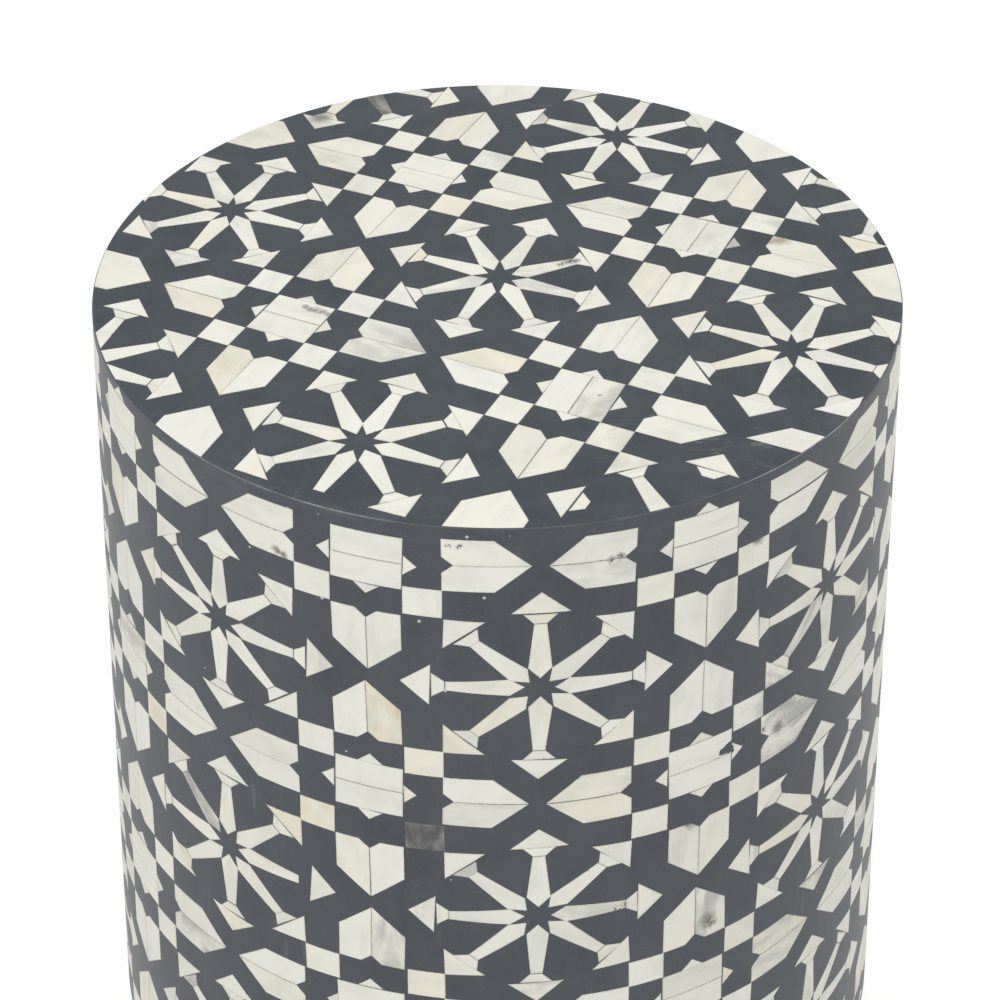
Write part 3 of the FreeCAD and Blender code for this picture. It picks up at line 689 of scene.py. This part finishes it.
def biteFrom(bone, onto, centre, x, y, size, dice):
    spot = Vector(onto(np.array([[centre[0] + x, centre[1] + y, 0.0]]))[0])
    tooth = raggedBall(spot, size, boneCut["biteLeast"], boneCut["biteSpread"], dice)
    cutWith(bone, "DIFFERENCE", tooth)
    bpy.data.objects.remove(tooth)


def joined(name, bones):
    pickOnly(bones[0])
    for bone in bones:
        bone.select_set(True)
    bpy.ops.object.join()
    whole = bpy.context.object
    whole.name = whole.data.name = name
    return whole


def familyOf(kind):
    families = {"rays": "spear", "collars": "spear", "arrowheads": "spear", "left_leaves": "leaf",
                "right_leaves": "leaf", "rim_bones": "leaf", "small_squares": "small"}
    return families.get(kind, "square")


def strayOf(family, turn, cell, dice):
    pivots = {"spear": (0.2, 0), "leaf": (0.35, 0), "small": (0.16, 0.16), "square": (0, 0)}

    def about(most):
        return most * (2 * dice.random() - 1)
    return {
        "pivot": np.array(turned([pivots[family]], turn)[0]) * cell,
        "shift": (about(handLaid["shift"]), about(handLaid["shift"])),
        "turn": math.radians(about(handLaid["turn"])),
        "stretch": (about(handLaid["stretch"]), about(handLaid["stretch"])),
        "shear": about(handLaid["shear"]),
        "taper": (about(handLaid["taper"]), about(handLaid["taper"])),
    }


def layPattern(surface, cell, centres, onto, keep, oddBones, seamTurned=(), rimLeaves=(), ring=None):
    kinds, blanks, laid = boneKinds(), {}, {}
    bent = surface == "side"
    for kind, (outline, turns, home, grain, proud, play) in kinds.items():
        for turn in turns:
            placed = [(x * cell[0], y * cell[1]) for x, y in turned(outline, turn)]
            blanks[kind, turn] = cutBlank(f"{kind}_{turn}", placed, grain + turn, bent)
    for home, column, row in centres:
        groups = {}
        centre = (column * cell[0], (-row if bent else row) * cell[1])
        for kind, (outline, turns, kindHome, grain, proud, play) in kinds.items():
            for turn in turns if kindHome == home else []:
                single = (column, row, turn) in rimLeaves
                if kind == "half_squares" and (turn % 180 != 0) != ((column, row) in seamTurned):
                    continue
                if (kind == "rim_bones" and not single) or (kind in leafPair and single):
                    continue
                odd = oddBones.get((kind, column, row, turn), {})
                kept = odd.get("kept", keep(kind, column, row, turn, centre, blanks[kind, turn]))
                if odd.get("drop") or not kept:
                    continue
                family = familyOf(kind)
                groupKey = (family, 0 if family == "square" else turn)
                if groupKey not in groups:
                    groupDice = random.Random(f"{surface} {groupKey} {column} {row}")
                    groups[groupKey] = strayOf(*groupKey, cell, groupDice)
                dice = random.Random(f"{surface} {kind} {column} {row} {turn}")
                bone = layBone(blanks[kind, turn], centre, groups[groupKey], dice, onto, odd, proud, play)
                for x, y, size in odd.get("bites", []):
                    biteFrom(bone, onto, centre, x * cell[0], y * cell[1], size, dice)
                atRim = kind == "rim_bones" or odd.get("atRim", False)
                cutByRim = ring is not None and trimAtRim(bone, ring)
                laid.setdefault("rim_bones" if cutByRim or atRim else kind, []).append(bone)
    for blank in blanks.values():
        bpy.data.objects.remove(blank["mesh"])
    pieces = {}
    for kind, bones in laid.items():
        pieces[kind] = joined(f"{surface}_{kind}_laid", bones)
        bpy.ops.object.shade_smooth_by_angle(angle=math.radians(boneCut["smoothUnder"]))
    print(f"{surface} bones laid:", {kind: len(bones) for kind, bones in laid.items()})
    return pieces


# Top

topOddBones = {             # bones that stand out, by kind, centre and turn
    ("collars", 0, -1, 270): {"drop": True},
    ("arrowheads", 0, -1, 270): {"drop": True},
    ("rays", 1, -1, 180): {"drop": True},
    ("rays", 1, -1, 90): {"drop": True},
    ("left_leaves", 1.5, -0.5, 180): {"drop": True},
    ("right_leaves", 1.5, -0.5, 180): {"atRim": True},
    ("rim_bones", -1.5, -0.5, 0): {"warm": 0.22},
    ("rim_bones", -1.5, 0.5, 0): {"warm": 0.30, "smoky": 0.20},
    ("rim_bones", 1.5, 0.5, 180): {"warm": 0.28},
    ("left_leaves", -0.5, -0.5, 180): {"warm": 0.40},
    ("right_leaves", -0.5, -0.5, 180): {"warm": 0.15},
    ("right_leaves", -0.5, -0.5, 270): {"warm": 0.62},
    ("left_leaves", -0.5, -0.5, 270): {"warm": 0.10, "smoky": 0.05},
    ("left_leaves", -0.5, -0.5, 0): {"smoky": 0.52},
    ("right_leaves", -0.5, -0.5, 0): {"smoky": 0.42, "warm": 0.10},
    ("left_leaves", -0.5, -0.5, 90): {"warm": 0.20, "smoky": 0.25},
    ("half_squares", -0.5, -0.5, 0): {"smoky": 0.05, "warm": 0.10},
    ("half_squares", -0.5, -0.5, 180): {"smoky": 0.10, "warm": 0.15},
    ("small_squares", -0.5, -0.5, 90): {"smoky": 0.05},
    ("right_leaves", 0.5, -0.5, 180): {"warm": 0.60, "smoky": 0.16},
    ("rays", 0, -1, 45): {"smoky": 0.04, "warm": 0.20},
    ("left_leaves", 0.5, -0.5, 180): {"warm": 0.0, "smoky": 0.0},
    ("half_squares", 0.5, -0.5, 90): {"warm": 0.12, "smoky": 0.0},
    ("half_squares", 0.5, -0.5, 270): {"smoky": 0.55},
    ("small_squares", 0.5, -0.5, 270): {"smoky": 0.38},
    ("left_leaves", -0.5, 0.5, 90): {"smoky": 0.14, "warm": 0.34},
    ("right_leaves", -0.5, 0.5, 90): {"smoky": 0.06, "warm": 0.22},
    ("left_leaves", -0.5, 0.5, 180): {"smoky": 0.34, "warm": 0.42},
    ("small_squares", -0.5, 0.5, 270): {"warm": 0.55},
    ("right_leaves", 0.5, 0.5, 270): {"warm": 0.42, "smoky": 0.25},
    ("half_squares", 0.5, 0.5, 270): {"smoky": 0.34, "warm": 0.15},
    ("half_squares", 0.5, 0.5, 90): {"smoky": 0.06, "warm": 0.14},
    ("left_leaves", 0.5, 0.5, 0): {"warm": 0.28, "smoky": 0.10},
    ("right_leaves", 0.5, 0.5, 90): {"warm": 0.34},
    ("left_leaves", 0.5, 0.5, 90): {"warm": 0.22, "smoky": 0.08},
    ("small_squares", -0.5, -0.5, 180): {"warm": 0.12, "smoky": 0.04},
    ("right_leaves", -0.5, -0.5, 90): {"warm": 0.34, "smoky": 0.10},
    ("rays", 0, 0, 180): {"smoky": 0.04},
    ("rays", 0, 0, 45): {"smoky": 0.45},
    ("rays", 1, 0, 180): {"warm": 0.30},
    ("rays", 1, 0, 45): {"warm": 0.20},
    ("arrowheads", 1, 0, 90): {"warm": 0.12, "smoky": 0.04},
    ("rays", 1, 0, 0): {"smoky": 0.30},
    ("rays", 1, 1, 180): {"kept": True, "smoky": 0.62},
    ("rays", 1, 1, 270): {"kept": True, "smoky": 0.20},
    ("arrowheads", -1, 1, 270): {"smoky": 0.30},
    ("rays", -1, 1, 315): {"smoky": 1.0, "warm": 0.60},
}
topSeamTurned = {(0.5, -0.5), (0.5, 0.5)}
topRimLeaves = {            # single bones where the rim cuts a pair
    (-1.5, -0.5, 0), (-1.5, 0.5, 0), (-0.5, -1.5, 90), (0.5, -1.5, 90), (1.5, 0.5, 180), (0.5, 1.5, 270),
    (-0.5, 1.5, 270)}


def keepOnTop(kind, column, row, turn, centre, blank):
    corners = blank["corners"].copy()
    corners[:, :2] += centre
    middle = corners.mean(0, keepdims=True)
    spots = np.concatenate([corners, (corners + middle) / 2, middle])
    inside = np.hypot(*onTop(spots)[:, :2].T) < topRows["trimRadius"]
    return inside.mean() > topRows["keptShare"]


deselectAll()
bpy.ops.mesh.primitive_cylinder_add(vertices=drum["facets"], radius=topRows["trimRadius"],
                                    depth=topRows["trimDepth"], location=(0, 0, drum["height"]))
trimRing = bpy.context.object
topCentres = [("star", i, j) for i in range(-2, 3) for j in range(-2, 3)]
topCentres += [("square", i + 0.5, j + 0.5) for i in range(-3, 3) for j in range(-3, 3)]
topPieces = layPattern("top", (topRows["pitch"], topRows["pitch"]), topCentres, onTop, keepOnTop,
                       topOddBones, topSeamTurned, topRimLeaves, trimRing)
bpy.data.objects.remove(trimRing)
for kind, piece in topPieces.items():
    handOver(piece, "bone", f"top_{kind}")


# Side

sideOddBones = {            # bones that stand out, by kind, centre and turn
    ("star_points", -0.5, -0.5, 90): {"drop": True},
    ("collars", -1, 1, 0): {"drop": True},
    ("right_leaves", -0.5, 0.5, 90): {"warm": 0.78},
    ("small_squares", -0.5, 0.5, 270): {"smoky": 1.0},
    ("small_squares", -0.5, 0.5, 180): {"warm": 0.74},
    ("small_squares", -0.5, 0.5, 0): {"warm": 0.40},
    ("right_leaves", -0.5, 0.5, 270): {"warm": 0.26},
    ("arrowheads", 0, 0, 225): {"warm": 0.42},
    ("left_leaves", -0.5, -0.5, 180): {"warm": 0.08, "smoky": 0.02},
    ("right_leaves", -0.5, -0.5, 180): {"warm": 0.14, "smoky": 0.16},
    ("left_leaves", -0.5, -0.5, 0): {"warm": 0.10, "smoky": 0.20},
    ("right_leaves", -0.5, -0.5, 0): {"warm": 0.02, "smoky": 0.0},
    ("arrowheads", 0, 0, 180): {"warm": 0.05, "smoky": 0.04},
    ("left_leaves", 0.5, 0.5, 0): {"smoky": 0.78},
    ("right_leaves", 0.5, 0.5, 0): {"smoky": 0.62},
    ("arrowheads", 1, 0, 225): {"smoky": 0.80},
    ("right_leaves", 0.5, -0.5, 180): {"smoky": 0.18, "warm": 0.10},
    ("left_leaves", 0.5, -0.5, 180): {"smoky": 0.40},
    ("left_leaves", 0.5, -0.5, 0): {"warm": 0.12, "smoky": 0.12, "shift": (0, 0.0005)},
    ("right_leaves", 0.5, -0.5, 0): {"warm": 0.08, "smoky": 0.06, "shift": (0, -0.0003)},
    ("left_leaves", 0.5, -0.5, 270): {"warm": 0.10, "smoky": 0.20},
    ("right_leaves", 0.5, -0.5, 270): {"warm": 0.10, "smoky": 0.06},
    ("rays", 1, 0, 225): {"smoky": 0.64},
    ("rays", 1, 0, 270): {"smoky": 0.34},
    ("right_leaves", 0.5, 0.5, 180): {"smoky": 0.32, "warm": 0.30},
    ("left_leaves", -0.5, 0.5, 0): {"smoky": 0.06, "warm": 0.10},
    ("right_leaves", -0.5, 0.5, 0): {"smoky": 0.18, "warm": 0.10},
    ("rays", -1, 1, 135): {"smoky": 0.86},
    ("arrowheads", -1, 0, 315): {"smoky": 0.05, "warm": 0.20},
    ("left_leaves", 0.5, 0.5, 180): {"smoky": 0.10, "warm": 0.36},
    ("right_leaves", 0.5, 1.5, 90): {"smoky": 0.55},
    ("left_leaves", 0.5, 1.5, 0): {"smoky": 0.45, "warm": 0.40},
    ("right_leaves", 0.5, 1.5, 0): {"smoky": 0.45, "warm": 0.34},
    ("right_leaves", 0.5, 0.5, 270): {"smoky": 0.32},
    ("half_squares", 0.5, 0.5, 0): {"bites": [(0.106, 0.045, 0.0046), (0.088, 0.042, 0.0033),
                                              (0.072, 0.038, 0.0018)]},
    ("star_points", 0.5, 0.5, 0): {"bites": [(0.105, 0.032, 0.0022)]},
}
for row, drop in ((-0.5, -0.0020), (0.5, 0.0022)):     # these squares sit off their rows
    for column in (-0.5, 0.5):
        for kind in ("half_squares", "star_points"):
            for turn in range(0, 360, 90):
                sideOddBones.setdefault((kind, column, row, turn), {})["shift"] = (0, drop)


def keepOnSide(kind, column, row, turn, centre, blank):
    upper = turn == 90 and kind in (*leafPair, "small_squares") or turn == 0 and kind == "small_squares"
    if row == sideRows["topSquares"]:
        return not upper
    if row == sideRows["footSquares"]:
        return upper or turn == 90 and kind == "star_points"
    return True


sideCell = (drum["radius"] * math.radians(sideRows["stepFront"]), sideRows["pitch"])
sideCentres = [("star", column, row) for column in range(-3, 5) for row in range(3)]
sideCentres += [("square", column + 0.5, row - 0.5) for column in range(-4, 4) for row in range(4)]
sidePieces = layPattern("side", sideCell, sideCentres, onSide, keepOnSide, sideOddBones)
for piece in sidePieces.values():
    handOver(piece, "bone")


fillerSpecks = {            # pale filler squeezed out: places by degrees round the wall, height and size
    "low": 0.4, "least": 0.8, "spread": 0.4,
    "places": [(-24.3, 0.3862, 0.0009), (-10.5, 0.3833, 0.0009), (-4.0, 0.4349, 0.0009),
               (-1.7, 0.3996, 0.0009), (-7.0, 0.3430, 0.0008), (-35.7, 0.4016, 0.0007),
               (-29.2, 0.4340, 0.0004), (-24.6, 0.4352, 0.0004), (-6.4, 0.2253, 0.0005),
               (-21.2, 0.2964, 0.0006), (1.7, 0.4359, 0.0003), (-45.2, 0.3120, 0.0005),
               (59.3, 0.2900, 0.0005), (93.1, 0.2300, 0.0007), (-76.2, 0.3300, 0.0006),
               (124.2, 0.3650, 0.0005), (-115.7, 0.1900, 0.0007), (-158.1, 0.3480, 0.0005),
               (166.5, 0.1210, 0.0006), (-27.7, 0.1120, 0.0005)]}
speckDice = random.Random("specks")
specks = []
for degrees, up, across in fillerSpecks["places"]:
    turn = math.radians(degrees - 90)
    spot = (drum["radius"] * math.cos(turn), drum["radius"] * math.sin(turn), up)
    speck = raggedBall(spot, across, fillerSpecks["least"], fillerSpecks["spread"], speckDice)
    speck.scale = (fillerSpecks["low"], 1, 1)
    speck.rotation_euler = (0, 0, turn)
    bpy.ops.object.transform_apply(location=True, rotation=True, scale=True)
    bpy.ops.object.shade_smooth()
    specks.append(speck)
speckPiece = handOver(joined("side_filler_specks", specks), "bone")
speckPiece.data.materials[0] = makeFiller()
print("filler specks laid:", len(specks))


# Room, lamps and camera

floor = {"size": 12.0, "white": (0.56, 0.56, 0.56), "glow": 1.08, "glowShare": 0.88}
deselectAll()
bpy.ops.mesh.primitive_plane_add(size=floor["size"], location=(0, 0, 0))
ground = bpy.context.object
ground.name = "floor"
bench = Bench(bpy.data.materials.new("floor_white"))
seen = bench.seenDirectly()
matte = bench.node("ShaderNodeBsdfDiffuse", {}, {"Color": (*floor["white"], 1)})
glow = bench.node("ShaderNodeEmission", {}, {"Color": (1, 1, 1, 1), "Strength": floor["glow"]})
surface = bench.node("ShaderNodeMixShader", {}, {0: seen * floor["glowShare"], 1: matte, 2: glow})
bench.node("ShaderNodeOutputMaterial", {}, {"Surface": surface})
ground.data.materials.append(bench.material)

room = {"light": 0.77, "seen": 1.0}
world = bpy.data.worlds.new("studio")
bpy.context.scene.world = world
world.use_nodes = True
sky = Bench(world)
strength = sky.seenDirectly() * (room["seen"] - room["light"]) + room["light"]
backdrop = sky.node("ShaderNodeBackground", {}, {"Color": (1, 1, 1, 1), "Strength": strength})
sky.node("ShaderNodeOutputWorld", {}, {"Surface": backdrop})


def softLamp(name, place, size, power, aim=(0, 0, 0.25)):
    lamp = bpy.data.lights.new(name, "AREA")
    lamp.shape, lamp.size, lamp.energy = "DISK", size, power
    holder = bpy.data.objects.new(name, lamp)
    bpy.context.scene.collection.objects.link(holder)
    holder.location = place
    holder.rotation_euler = (Vector(aim) - Vector(place)).to_track_quat("-Z", "Y").to_euler()
    holder.visible_camera = False
    return holder


softLamp("key_lamp", place=(-0.9, -2.3, 2.5), size=1.8, power=34.0)
softLamp("side_lamp", place=(2.4, 0.4, 0.9), size=1.2, power=6.0)

view = {"place": (0.0, -2.0712, 1.7898), "turns": (54.488, -0.0746, 0.0131),
        "focal": 4923.78, "picture": 1000, "sensor": 36.0, "reach": 50}
camera = bpy.data.objects.new("camera", bpy.data.cameras.new("camera"))
bpy.context.scene.collection.objects.link(camera)
camera.data.sensor_width = view["sensor"]
camera.data.lens = view["focal"] * view["sensor"] / view["picture"]
camera.data.clip_end = view["reach"]
camera.location = view["place"]
camera.rotation_euler = [math.radians(turn) for turn in view["turns"]]
bpy.context.scene.camera = camera
bpy.context.scene.view_settings.view_transform = "Standard"
